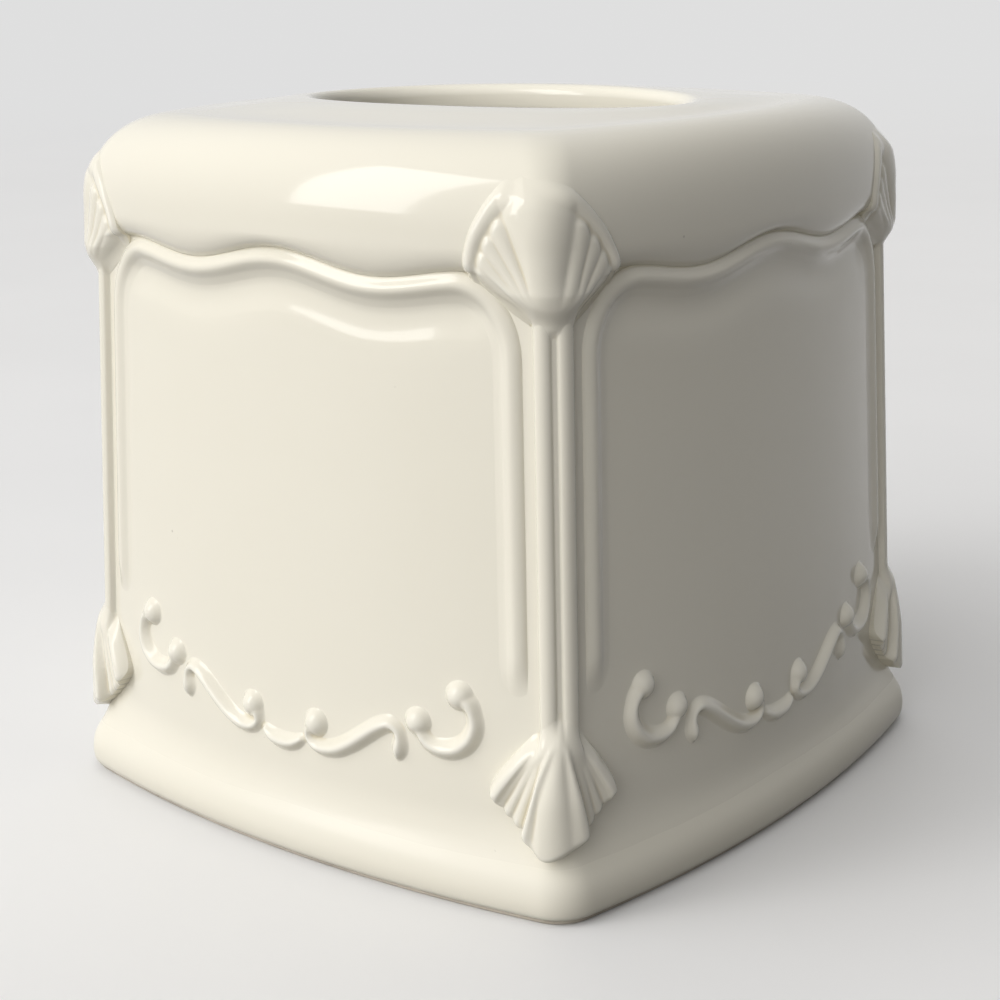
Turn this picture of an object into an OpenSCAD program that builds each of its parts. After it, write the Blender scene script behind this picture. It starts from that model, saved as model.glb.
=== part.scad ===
// Boutique tissue box cover, cast in ceramic: four bowed walls on a rolled foot, a swelling top cover
// with an oval opening, and applied ornament. +Z is up and the origin is the centre of the base.
// The long axis of the opening lies along X, and the four faces look along -Y, +X, +Y and -X.

/* [Body] */
// Overall height, from the table to the crest of the lip
cover_h = 150; // [135:1:170]
// Half the straight distance between neighbouring corners, at the foot of the walls
half_side = 65.9; // [61:0.1:74]
// How far the middle of each face bows out
face_bow = 6.3; // [4:0.1:8]
// Radius of the upright corners at the foot of the walls
corner_r = 5.2; // [4.2:0.1:6.5]
// Radius of the inner upright corners
inner_r = 4; // [3:0.25:6]
// Thickness of the cast walls
wall_t = 5; // [4:0.25:6]
// Share of the plan that the walls lose over the overall height
taper_share = 0.082; // [0.05:0.002:0.11]

/* [Foot] */
// Height of the rolled foot, without the cove above it
foot_h = 11; // [9.5:0.25:12.5]
// How far the roll stands out from the walls
foot_out = 4.8; // [3:0.1:5.6]
// Height of the cove that leads from the roll to the walls
cove_h = 2.4; // [1.5:0.1:3.5]
// Height of the unglazed rim that the cover stands on
rim_h = 1; // [0.8:0.1:1.6]
// Width of the unglazed rim
rim_w = 5.4; // [4:0.1:6.5]
// How far the rim is set back under the roll
rim_inset = 1.1; // [0.8:0.1:2]

/* [Top cover] */
// Depth of the top cover from the crest of the lip to its wavy hem, without the wave
cover_depth = 26.3; // [24:0.1:32]
// Height of each crest of the wave above the middle line
wave_h = 1.65; // [1:0.05:2.2]
// Distance between two crests of the wave
wave_len = 47; // [40:0.5:54]
// How far the hem sinks from the middle of a face to its corners
wave_drop = 3.3; // [2:0.1:4.5]
// How far the top cover swells out beyond the walls
swell_out = 3.1; // [2.6:0.1:3.8]
// Rise from the hem to where the top cover stands out furthest
swell_rise = 4.5; // [3.6:0.1:6]
// Rise from the end of the rounded shoulder to the crest of the lip
crown_rise = 2; // [1.4:0.1:4]
// Half the straight distance between the corners where the shoulder ends
top_half = 51; // [50.5:0.5:54]
// How far each side bows out where the shoulder ends
top_bow = 7.5; // [5:0.25:9]
// Corner radius where the shoulder ends
top_corner_r = 10; // [7:0.5:14]
// Length of the opening along X, from crest to crest of its lip
opening_len = 96; // [84:1:98]
// Width of the opening along Y, from crest to crest of its lip
opening_w = 65; // [56:1:76]
// Radius of the rolled lip of the opening
lip_r = 2.4; // [1.8:0.1:3]
// How far the crest of the lip dips at the two ends of the opening
lip_dip = 0.7; // [0:0.1:1.4]
// Thickness of the cast top
top_t = 5.2; // [4.4:0.1:6]

/* [Bead and frame] */
// Width of the bead under the hem
bead_w = 3.3; // [2.4:0.1:4]
// Height of the bead over the wall
bead_proud = 1.6; // [1:0.1:2.2]
// Groove between the hem and the bead
bead_gap = 0.8; // [0.5:0.1:1.2]
// Width of the frame's upright sides, which turn into the bead at their upper ends
frame_w = 3.6; // [2.8:0.1:4.4]
// Height of the frame's sides over the wall
frame_proud = 1.1; // [0.7:0.05:1.5]
// Groove between the corner reeds and the frame's sides
frame_gap = 0.8; // [0.5:0.1:1.4]
// Width of the frame's upper corners, on their middle line
frame_turn_w = 10.5; // [8:0.5:13]
// Height of the frame's upper corners, on their middle line
frame_turn_h = 13; // [9:0.5:16]
// Rise from the hinge of the lower shells to where the upright sides of the frame run out
frame_foot_rise = 3.4; // [2:0.2:16]

/* [Corner reeds] */
// Width of each of the two reeds at a corner
reed_w = 3.3; // [2.6:0.1:3.8]
// Height of the reeds over the wall
reed_proud = 1.7; // [1.2:0.1:2.2]
// Groove between the two reeds, over the corner itself
arris_gap = 2.4; // [1.8:0.1:3]

/* [Corner shells] */
// Length of the lower shells from hinge to tip
low_len = 27; // [25:0.25:29]
// Drop from the hem of the top cover to the hinge of the upper shells
high_hinge_drop = 9.7; // [8.7:0.1:12]
// Length of the upper shells from hinge to tip
high_len = 29; // [26:0.25:30]
// How far the lower shells stand out over the walls
low_proud = 4.9; // [3.6:0.1:5.4]
// How far the upper shells stand out over the top cover
high_proud = 1.1; // [0.7:0.05:1.6]

/* [Garland] */
// Half the width of the garland
garland_half = 48.5; // [42:0.5:50]
// Rise from the walls' foot to the garland's lowest point
garland_foot_rise = 11.6; // [8.6:0.2:18]
// Rise from the lowest point to the outer balls
garland_rise = 18.5; // [16:0.5:21]
// Width of the strokes at their broadest
stroke_w = 3; // [2.2:0.1:3.2]
// Height of the strokes over the wall
stroke_proud = 1.8; // [1.2:0.1:2.4]

/* [Hidden] */

glaze = [0.94, 0.91, 0.83];
bisque = [0.86, 0.80, 0.70];
// Clearance behind each applied piece, so that it seats on the facets of the wall
seat_gap = 0.1;
side_steps = 12;
corner_steps = 4;
steps = side_steps + corner_steps;
quarter_turn = 90;
wall_foot_z = foot_h + cove_h;
hem_h = cover_h - cover_depth;
swell_h = hem_h + swell_rise;
shoulder_h = cover_h - crown_rise;
low_tip_gap = 0.1;
low_hinge_h = wall_foot_z + low_tip_gap + low_len;
high_hinge_h = hem_h - high_hinge_drop;
frame_foot_h = low_hinge_h + frame_foot_rise;
garland_h = wall_foot_z + garland_foot_rise;

// the plan: a square with bowed sides and round corners, point by point

function bow_radius(half, bow) = (half * half + bow * bow) / (2 * bow);
function bow_angle(half, bow) = asin(half / bow_radius(half, bow));

// Angle of the normal at place n of the outline, from the middle of the face that the place is on
function normal_angle(n, half, bow) =
    let (k = n % steps, reach = bow_angle(half, bow))
    k <= side_steps
        ? reach * (2 * k / side_steps - 1)
        : reach + (quarter_turn - 2 * reach) * (k - side_steps) / corner_steps;

// Point of a face or of the corner after it, at an angle of the normal, lifted off the outline
function face_plan(angle, half, bow, r, lift) =
    let (inner = half - r, reach = bow_angle(inner, bow), big = bow_radius(inner, bow))
    abs(angle) <= reach
        ? [inner + bow - big + (big + r + lift) * cos(angle), (big + r + lift) * sin(angle)]
        : [inner + (r + lift) * cos(angle), sign(angle) * inner + (r + lift) * sin(angle)];

function turned(p, quarter) =
    let (a = quarter * quarter_turn)
    [p.x * cos(a) - p.y * sin(a), p.x * sin(a) + p.y * cos(a)];

function outline(half, bow, r, lift) =
    [for (n = [0:4 * steps - 1])
        turned(face_plan(normal_angle(n, half - r, bow), half, bow, r, lift), floor(n / steps))];

// the walls: the plan shrinks evenly with height

function wall_share(z) = 1 - taper_share * (z - foot_h) / cover_h;
function wall_ring(z, lift = 0) =
    outline(half_side * wall_share(z), face_bow * wall_share(z), corner_r * wall_share(z), lift);
function inside_share(z, t) = wall_share(z) - t / (half_side + face_bow);
function inside_ring(z, t) =
    outline(half_side * inside_share(z, t), face_bow * inside_share(z, t), inner_r, 0);

// Point over the face that looks along +X, from its middle line and the table
function on_face(u, z, lift) =
    let (s = wall_share(z), big = bow_radius(half_side - corner_r, face_bow) + corner_r)
    let (p = face_plan(asin(u / (s * big)), half_side * s, face_bow * s, corner_r * s, lift))
    [p.x, p.y, z];

// Point near the corner between +X and +Y, by the distance round the corner from its middle
function on_corner(s, z, lift) =
    let (share = wall_share(z), reach = bow_angle(half_side - corner_r, face_bow),
         big = bow_radius(half_side - corner_r, face_bow) + corner_r)
    let (half_arc = corner_r * share * (quarter_turn / 2 - reach) * PI / 180)
    let (turn = abs(s) < half_arc
        ? abs(s) / (corner_r * share) * 180 / PI
        : quarter_turn / 2 - reach + (abs(s) - half_arc) / (big * share) * 180 / PI)
    let (p = face_plan(quarter_turn / 2 - turn, half_side * share, face_bow * share, corner_r * share, lift))
    s >= 0 ? [p.x, p.y, z] : [p.y, p.x, z];

// the hem: a wave that sinks toward the corners

function hem_z(u) =
    hem_h + wave_h * cos(360 * u / wave_len) - wave_drop * pow(u / half_side, 2);
function raised(ring, heights) = [for (i = [0:len(ring) - 1]) [ring[i].x, ring[i].y, heights[i]]];
function level(ring, z) = [for (p = ring) [p.x, p.y, z]];

// Height of the hem at each place of the outline, constant round the corners
hem_heights = [for (n = [0:4 * steps - 1])
    let (k = n % steps, a = normal_angle(min(k, side_steps), half_side - corner_r, face_bow),
         big = bow_radius(half_side - corner_r, face_bow) + corner_r)
    hem_z(big * sin(a) * wall_share(hem_h))];
hem_outer = raised(wall_ring(hem_h), hem_heights);
hem_inner = raised(inside_ring(hem_h, wall_t), hem_heights);

// solids from rings

function joined(lists) = [for (l = lists) each l];

// Rings that follow one another round the section of a hollow solid
module ring_solid(rings, inward = false) {
    n = len(rings[0]);
    m = len(rings);
    faces = [for (j = [0:m - 1], i = [0:n - 1])
        let (a = j * n + i, b = j * n + (i + 1) % n,
             c = (j + 1) % m * n + (i + 1) % n, d = (j + 1) % m * n + i)
        each (inward ? [[a, b, c], [a, c, d]] : [[a, c, b], [a, d, c]])];
    polyhedron(points = joined(rings), faces = faces, convexity = 8);
}

// Rings stacked upward and closed at both ends
module stack_solid(rings) {
    n = len(rings[0]);
    m = len(rings);
    sides = [for (j = [0:m - 2], i = [0:n - 1])
        let (a = j * n + i, b = j * n + (i + 1) % n)
        each [[a, b + n, b], [a, a + n, b + n]]];
    polyhedron(points = joined(rings),
        faces = concat(sides, [[for (i = [0:n - 1]) i]], [[for (i = [n - 1:-1:0]) (m - 1) * n + i]]),
        convexity = 8);
}

// sweeps of a round-backed moulding over the face that looks along +X

section_shares = [[-1, 0], [-0.72, 0.66], [0, 1], [0.72, 0.66], [1, 0]];

// path holds [u, z, half width, height]
function swept_ring(path, i) =
    let (a = path[max(i - 1, 0)], b = path[min(i + 1, len(path) - 1)], p = path[i])
    let (way = [b[0] - a[0], b[1] - a[1]], side = [way[1], -way[0]] / norm(way))
    [for (q = section_shares)
        on_face(p[0] + side[0] * q[0] * p[2], p[1] + side[1] * q[0] * p[2], seat_gap + p[3] * q[1])];

module swept(path) {
    n = len(section_shares);
    m = len(path);
    sides = [for (j = [0:m - 2], i = [0:n - 1])
        let (a = j * n + i, b = j * n + (i + 1) % n)
        each [[a, b + n, b], [a, a + n, b + n]]];
    polyhedron(points = joined([for (i = [0:m - 1]) swept_ring(path, i)]),
        faces = concat(sides, [[for (i = [0:n - 1]) i]], [[for (i = [n - 1:-1:0]) (m - 1) * n + i]]),
        convexity = 8);
}

// foot

// Offset of the roll from the walls, at a height share of the foot
roll_steps = 6;
cove_steps = 2;
roll_low_share = 0.42;
roll_span_share = 0.63;
function roll_out(t) = foot_out * sqrt(1 - pow((t - roll_low_share) / roll_span_share, 2));
foot_outer_rings = concat(
    [for (i = [0:roll_steps])
        let (t = rim_h / foot_h + (1 - rim_h / foot_h) * i / roll_steps)
        level(wall_ring(foot_h * t, roll_out(t)), foot_h * t)],
    [for (i = [1:cove_steps])
        let (a = i * quarter_turn / cove_steps)
        level(wall_ring(foot_h + cove_h * sin(a), roll_out(1) * (1 - sin(a))),
            foot_h + cove_h * (1 - cos(a)))]);
rim_outer_lift = roll_out(rim_h / foot_h) - rim_inset;

module foot_rim() {
    outer = wall_ring(0, rim_outer_lift);
    inner = inside_ring(0, rim_w - rim_outer_lift);
    color(bisque) ring_solid([level(outer, 0), level(outer, rim_h), level(inner, rim_h), level(inner, 0)]);
}

module foot_moulding() {
    color(glaze) ring_solid(concat(foot_outer_rings,
        [level(inside_ring(wall_foot_z, wall_t), wall_foot_z), level(inside_ring(rim_h, wall_t), rim_h)]));
}

// walls

module wall_shell() {
    color(glaze) ring_solid([
        level(wall_ring(wall_foot_z), wall_foot_z), hem_outer, hem_inner,
        level(inside_ring(wall_foot_z, wall_t), wall_foot_z)]);
}

// top cover

shoulder_power_share = 1.2;
hem_steps = 3;
shoulder_steps = 6;
vault_steps = 3;
swell_ring = wall_ring(swell_h, swell_out);
top_ring = outline(top_half, top_bow, top_corner_r, 0);

function blend(a, b, share) = [for (i = [0:len(a) - 1]) a[i] + (b[i] - a[i]) * share];
function inset_share(a) = pow(1 - cos(a), shoulder_power_share);

// Oval round the opening, one point for each place of the outline
function oval(grow) = [for (p = top_ring)
    let (a = atan2(p.y, p.x))
    [(opening_len / 2 + grow) * cos(a), (opening_w / 2 + grow) * sin(a)]];
function crest_z(p) = cover_h - lip_dip * (1 + cos(2 * atan2(p.y, p.x))) / 2;
crest_heights = [for (p = top_ring) crest_z(p)];

hem_rings = [for (i = [0:hem_steps])
    let (a = i * quarter_turn / hem_steps, plan = blend(wall_ring(hem_h), swell_ring, sin(a)))
    raised(plan, [for (z = hem_heights) z + (swell_h - z) * (1 - cos(a))])];
shoulder_rings = [for (i = [1:shoulder_steps])
    let (a = i * quarter_turn / shoulder_steps)
    level(blend(swell_ring, top_ring, inset_share(a)), swell_h + (shoulder_h - swell_h) * sin(a))];
dome_shares = [0.5, 1];
lip_angles = [50, 90];
dome_rings = [for (t = dome_shares)
    raised(blend(top_ring, oval(0), t),
        [for (z = crest_heights) shoulder_h + (z - shoulder_h) * (1 - pow(1 - t, 2))])];
lip_rings = [for (a = lip_angles)
    raised(oval(-lip_r * sin(a)), [for (z = crest_heights) z - lip_r * (1 - cos(a))])];
under_z = shoulder_h - top_t;
throat_rings = [level(oval(-lip_r), under_z + lip_r), level(oval(0), under_z)];
under_ring = inside_ring(swell_h, wall_t);
vault_rings = [for (i = [0:vault_steps])
    let (a = quarter_turn * (1 - i / vault_steps))
    level(blend(under_ring, top_ring, inset_share(a)), swell_h + (under_z - swell_h) * sin(a))];
cover_outer_rings = concat(hem_rings, shoulder_rings);

module top_cover() {
    loop = concat(cover_outer_rings, dome_rings, lip_rings, throat_rings, vault_rings, [hem_inner]);
    color(glaze) ring_solid([for (i = [len(loop) - 1:-1:0]) loop[i]], inward = true);
}

// bead and frame

function bead_z(u) = hem_z(u) - bead_gap - bead_w / 2;
function corner_u(z) = (half_side - corner_r / 2) * wall_share(z);
// Distance from the corner to the middle line of the frame's upright side
frame_in = arris_gap / 2 + reed_w + frame_gap + frame_w / 2;
frame_end_share = 0.6;
bead_steps = 20;
frame_turn_steps = 6;
// Clearance between the bead and each side of the frame, where their ends meet
joint_gap = 0.2;
// Half the width of the bead, where the frame's corners take over
bead_reach = corner_u(hem_h) - frame_in - frame_turn_w;

module wave_bead() {
    half = [for (i = [0:bead_steps / 2]) bead_reach * 2 * i / bead_steps];
    path = concat([for (i = [len(half) - 1:-1:1]) [-half[i], bead_z(half[i]), bead_w / 2, bead_proud]],
        [for (u = half) [u, bead_z(u), bead_w / 2, bead_proud]]);
    color(glaze) swept(path);
}

// Path of one side of the frame, from the end of the bead round the upper corner and down to its foot
function frame_path(side) =
    let (start_z = bead_z(bead_reach), turn_z = start_z - frame_turn_h, start_u = bead_reach + bead_gap,
         side_u = corner_u(turn_z) - frame_in, foot_u = corner_u(frame_foot_h) - frame_in)
    concat(
        [[side * (bead_reach + joint_gap), start_z, bead_w / 2, bead_proud]],
        [for (i = [0:frame_turn_steps])
            let (a = quarter_turn * i / frame_turn_steps, share = i / frame_turn_steps)
            [side * (start_u + (side_u - start_u) * sin(a)), turn_z + frame_turn_h * cos(a),
                (bead_w + (frame_w - bead_w) * share) / 2, bead_proud + (frame_proud - bead_proud) * share]],
        [[side * (foot_u + (side_u - foot_u) * frame_w / (turn_z - frame_foot_h)), frame_foot_h + frame_w,
            frame_w / 2, frame_proud],
        [side * foot_u, frame_foot_h, frame_w / 2 * frame_end_share, seat_gap]]);

module panel_frame() {
    right = frame_path(1);
    left = frame_path(-1);
    color(glaze) {
        swept(right);
        swept([for (i = [len(left) - 1:-1:0]) left[i]]);
    }
}

// corner reeds: one strip round the corner, with a groove over the corner itself

reed_section_shares = [[0, 0], [0.18, 0.72], [0.5, 1], [0.82, 0.72]];
reed_valley_share = 0.2;
reed_back_shares = [-0.5, -0.25, 0, 0.25, 0.5];

module corner_reeds() {
    side = [for (q = reed_section_shares) [arris_gap / 2 + reed_w * (1 - q[0]), reed_proud * q[1]]];
    section = concat(side, [[arris_gap / 4, reed_proud * reed_valley_share]],
        [[-arris_gap / 4, reed_proud * reed_valley_share]],
        [for (i = [len(side) - 1:-1:0]) [-side[i][0], side[i][1]]],
        [for (q = reed_back_shares) [corner_r * q, 0]]);
    n = len(section);
    heights = [low_hinge_h, (low_hinge_h + high_hinge_h) / 2, high_hinge_h];
    m = len(heights);
    sides = [for (j = [0:m - 2], i = [0:n - 1])
        let (a = j * n + i, b = j * n + (i + 1) % n)
        each [[a, b + n, b], [a, a + n, b + n]]];
    color(glaze) polyhedron(
        points = [for (z = heights, p = section) on_corner(p[0], z, seat_gap + p[1])],
        faces = concat(sides, [[for (i = [0:n - 1]) i]], [[for (i = [n - 1:-1:0]) (m - 1) * n + i]]),
        convexity = 6);
}

// corner shells: fans of ribs that spread from a hinge, each a grid of columns by rows

// Columns of half a fan, from its middle outward: angle from the upright, length share and height share
low_column_shares = [[0, 1, 1], [4, 0.995, 0.93], [8, 0.98, 0.88], [15.5, 0.92, 0.95], [19.5, 0.875, 0.5],
    [23.6, 0.865, 0.66], [27.1, 0.835, 0.42], [30.6, 0.835, 0.62], [34.1, 0.815, 0.4], [37.6, 0.82, 0.58],
    [42, 0.81, 0.4], [46.2, 0.82, 0.7], [49.5, 0.815, 0.3]];
high_column_shares = [[0, 1, 1], [4, 0.99, 0.99], [8, 0.965, 0.95], [13, 0.91, 0.8], [15.6, 0.89, 0.4],
    [21.8, 0.87, 1], [27.2, 0.845, 0.55], [32.6, 0.83, 1], [38, 0.8, 0.55], [43.4, 0.775, 1],
    [48.8, 0.72, 0.55], [54.2, 0.665, 0.95], [62.7, 0.6, 0.5]];
// Rows from the hinge to the edge: place along the column, height in the middle and height at the sides
middle_columns = 4;
low_row_shares = [[0.06, 0.26, 0.3], [0.22, 0.64, 0.5], [0.4, 0.84, 0.75], [0.6, 0.97, 0.95],
    [0.86, 1, 1], [1, 0.98, 0.55]];
high_row_shares = [[0.06, 0.75, 0.6], [0.22, 0.8, 0.7], [0.42, 0.85, 0.8], [0.62, 0.75, 0.85],
    [0.8, 0.6, 0.9], [0.88, 0.5, 0.3], [0.95, 0.35, 0.95], [1, 0.12, 0.4]];
// Clearance behind the shells, which bridge the facets of the walls and of the top cover
shell_gap = 0.12;
cover_gap = 0.35;
// Heights over the hem's lowest place between which the back of a shell leaves the wall for the top cover
lead_drop = 3;
lead_rise = 2.5;
// Heights over the hinge between which the front of an upper shell leaves the reeds
front_drop = 2.5;
front_rise = 6.5;
hem_low_z = min(hem_heights);

// Place along the outline, counted in steps, at a distance round a corner from its middle
function corner_place(s, z) =
    let (share = wall_share(z), inner = half_side - corner_r, reach = bow_angle(inner, face_bow))
    let (half_arc = corner_r * share * (quarter_turn / 2 - reach) * PI / 180,
         side_arc = (bow_radius(inner, face_bow) + corner_r) * share * 2 * reach * PI / 180)
    s < half_arc
        ? side_steps + corner_steps / 2 * (1 - s / half_arc)
        : side_steps * (1 - (s - half_arc) / side_arc);

// How far the back and the front of a shell stand out from the walls under the widest place of the top cover
function back_out(z) =
    swell_out * max(0, min(1, (z - hem_low_z + lead_drop) / (lead_drop + lead_rise)));
function front_out(z) =
    z < (low_hinge_h + high_hinge_h) / 2 ? 0
        : max(back_out(z), swell_out * min(1, (z - high_hinge_h + front_drop) / (front_drop + front_rise)));

// Point near a corner over the walls or the top cover, lifted along the normal
function shell_point(s, z, lift, front) =
    let (k = corner_place(abs(s), z), n = normal_angle(k, half_side - corner_r, face_bow))
    let (tilt = z <= swell_h ? 0 : asin((z - swell_h) / (shoulder_h - swell_h)), low = min(z, swell_h),
         share = wall_share(low))
    let (foot = face_plan(n, half_side * share, face_bow * share, corner_r * share,
             front ? front_out(low) : back_out(low)),
         head = face_plan(normal_angle(k, top_half - top_corner_r, top_bow),
             top_half, top_bow, top_corner_r, 0))
    let (p = blend(foot, head, inset_share(tilt)) + lift * cos(tilt) * [cos(n), sin(n)])
    s >= 0 ? [p.x, p.y, z + lift * sin(tilt)] : [p.y, p.x, z + lift * sin(tilt)];

module shell(hinge, up, reach, proud, half, rows, gap) {
    columns = concat([for (i = [len(half) - 1:-1:1]) [-half[i][0], half[i][1], half[i][2], i]],
        [for (i = [0:len(half) - 1]) [half[i][0], half[i][1], half[i][2], i]]);
    n = len(columns);
    m = len(rows);
    front = [for (r = rows, c = columns)
        shell_point(reach * c[1] * r[0] * sin(c[0]), hinge + up * reach * c[1] * r[0] * cos(c[0]),
            gap + proud * c[2] * (c[3] < middle_columns ? r[1] : r[2]), true)];
    back = [for (r = rows, c = columns)
        shell_point(reach * c[1] * r[0] * sin(c[0]), hinge + up * reach * c[1] * r[0] * cos(c[0]),
            gap, false)];
    edge = concat([for (i = [0:n - 1]) i], [for (j = [1:m - 1]) j * n + n - 1],
        [for (i = [n - 2:-1:0]) (m - 1) * n + i], [for (j = [m - 2:-1:1]) j * n]);
    faces = concat(
        [for (j = [0:m - 2], i = [0:n - 2])
            let (a = j * n + i, b = a + n, f = n * m)
            each [[a, a + 1, b + 1], [a, b + 1, b],
                [a + f, b + f + 1, a + f + 1], [a + f, b + f, b + f + 1]]],
        [for (i = [0:len(edge) - 1])
            let (a = edge[i], b = edge[(i + 1) % len(edge)], f = n * m)
            each [[b, a, a + f], [b, a + f, b + f]]]);
    color(glaze) polyhedron(points = concat(front, back),
        faces = up > 0 ? faces : [for (t = faces) [t[0], t[2], t[1]]], convexity = 8);
}

module upper_shell() {
    shell(high_hinge_h, 1, high_len, high_proud, high_column_shares, high_row_shares, cover_gap);
}

module lower_shell() {
    shell(low_hinge_h, -1, low_len, low_proud, low_column_shares, low_row_shares, shell_gap);
}

// garland: scrolls with ball ends, mirrored about the middle of the face

// Strokes as [share of half the width, share of the rise, share of the stroke's width], wide at a ball
arc_shares = [[-0.107, 0.043, 0.5], [-0.062, -0.016, 0.85], [0, -0.038, 1], [0.062, -0.016, 0.85],
    [0.107, 0.043, 0.5]];
s_shares = [[0.635, 0.13, 0.35], [0.639, 0.232, 0.95], [0.643, 0.357, 0.7], [0.625, 0.449, 0.7],
    [0.586, 0.481, 0.85], [0.526, 0.411, 1], [0.454, 0.281, 1.05], [0.381, 0.151, 1.05], [0.309, 0.054, 1],
    [0.237, 0.016, 0.9], [0.184, 0.038, 0.75], [0.153, 0.114, 0.6], [0.159, 0.2, 0.8], [0.192, 0.281, 1.5],
    [0.229, 0.324, 0.6]];
c_shares = [[0.882, 0.919, 0.5], [0.926, 0.941, 1.5], [0.967, 0.881, 1], [0.992, 0.768, 0.85],
    [0.998, 0.627, 0.95], [0.973, 0.476, 1.05], [0.92, 0.362, 1.1], [0.852, 0.324, 1.05], [0.79, 0.357, 0.9],
    [0.753, 0.449, 0.8], [0.73, 0.573, 1.45], [0.744, 0.681, 0.5]];
ball_height_share = 1.3;

module stroke(shares, side) {
    path = [for (q = shares) [side * q[0] * garland_half, garland_h + q[1] * garland_rise,
        stroke_w / 2 * q[2], stroke_proud * min(q[2], ball_height_share)]];
    swept(path);
}

module garland() {
    color(glaze) {
        stroke(arc_shares, 1);
        for (side = [-1, 1]) {
            stroke(s_shares, side);
            stroke(c_shares, side);
        }
    }
}

module facing(quarter) {
    rotate([0, 0, quarter * quarter_turn]) children();
}

foot_rim();
foot_moulding();
wall_shell();
top_cover();
facing(-1) wave_bead();  // wave_bead_front
facing(0) wave_bead();  // wave_bead_right
facing(1) wave_bead();  // wave_bead_back
facing(2) wave_bead();  // wave_bead_left
facing(-1) panel_frame();  // panel_frame_front
facing(0) panel_frame();  // panel_frame_right
facing(1) panel_frame();  // panel_frame_back
facing(2) panel_frame();  // panel_frame_left
facing(-1) corner_reeds();  // corner_reeds_front_right
facing(0) corner_reeds();  // corner_reeds_back_right
facing(1) corner_reeds();  // corner_reeds_back_left
facing(2) corner_reeds();  // corner_reeds_front_left
facing(-1) upper_shell();  // upper_shell_front_right
facing(0) upper_shell();  // upper_shell_back_right
facing(1) upper_shell();  // upper_shell_back_left
facing(2) upper_shell();  // upper_shell_front_left
facing(-1) lower_shell();  // lower_shell_front_right
facing(0) lower_shell();  // lower_shell_back_right
facing(1) lower_shell();  // lower_shell_back_left
facing(2) lower_shell();  // lower_shell_front_left
facing(-1) garland();  // garland_front
facing(0) garland();  // garland_right
facing(1) garland();  // garland_back
facing(2) garland();  // garland_left
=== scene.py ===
"""Cast ceramic tissue box cover: its glazed skins, mouldings and ornament, and the studio it stands in."""

import math
from functools import partial

import bpy
import numpy as np
from bpy.props import FloatProperty, FloatVectorProperty, PointerProperty
from bpy.types import Operator, Panel, PropertyGroup
from mathutils import Matrix, Vector


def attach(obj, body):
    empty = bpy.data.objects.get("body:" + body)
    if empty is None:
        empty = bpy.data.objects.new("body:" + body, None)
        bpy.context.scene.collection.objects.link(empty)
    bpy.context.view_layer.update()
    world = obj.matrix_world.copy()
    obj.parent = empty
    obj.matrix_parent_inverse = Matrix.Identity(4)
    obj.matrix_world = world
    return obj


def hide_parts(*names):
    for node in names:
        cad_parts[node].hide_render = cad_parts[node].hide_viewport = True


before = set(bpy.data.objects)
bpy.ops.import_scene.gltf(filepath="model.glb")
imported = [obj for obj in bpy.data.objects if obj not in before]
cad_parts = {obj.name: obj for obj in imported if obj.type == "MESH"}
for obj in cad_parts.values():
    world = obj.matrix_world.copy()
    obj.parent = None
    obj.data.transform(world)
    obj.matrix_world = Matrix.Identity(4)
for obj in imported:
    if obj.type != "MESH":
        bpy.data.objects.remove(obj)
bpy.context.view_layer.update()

bl_info = {
    "name": "Tissue box cover",
    "version": (1, 0, 0),
    "blender": (4, 5, 0),
    "location": "3D View > Sidebar > Tissue cover",
    "description": "Builds a cast and glazed tissue box cover round its packed solids",
    "category": "Object",
}

MM = 0.001
QUARTER = math.pi / 2
# Widest place of the foot's roll, half its span and the start of its cove, as shares of the foot's height
ROLL_LOW, ROLL_SPAN, COVE_FROM = 0.42, 0.63, 0.86
# Height over which the cove runs out into the walls
COVE_RUN = 10.2
# How far the roll's underside runs in to the rim, and the radius under the hem
UNDER_ROLL = 2.2
HEM_FILLET = 0.7
# Heights between which the foot's bow turns into the walls' bow
BOW_FROM, BOW_TO = 6, 20
# Power of the shoulder's curve, of which a higher one keeps it full for longer
SHOULDER_POWER = 1.2
# Height from which the walls' rows begin to take on the hem's wave
WAVE_FROM = 92
# How far each ornament's back lies inside the surface that carries it
SUNK = 0.5
FACES = ("right", "back", "left", "front")
CORNERS = ("back_right", "back_left", "front_left", "front_right")


# Settings that a user would change


def amount(name, description, value, **kind):
    return FloatProperty(name=name, description=description, default=value, min=0, **kind)


def length(name, description, millimetres):
    return amount(name, description, millimetres * MM, precision=5, unit="LENGTH", subtype="DISTANCE")


def share(name, description, value):
    return amount(name, description, value, max=1, subtype="FACTOR")


def tint(name, description, value):
    return FloatVectorProperty(name=name, description=description, default=value, min=0, max=1, size=3,
                               subtype="COLOR")


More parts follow.
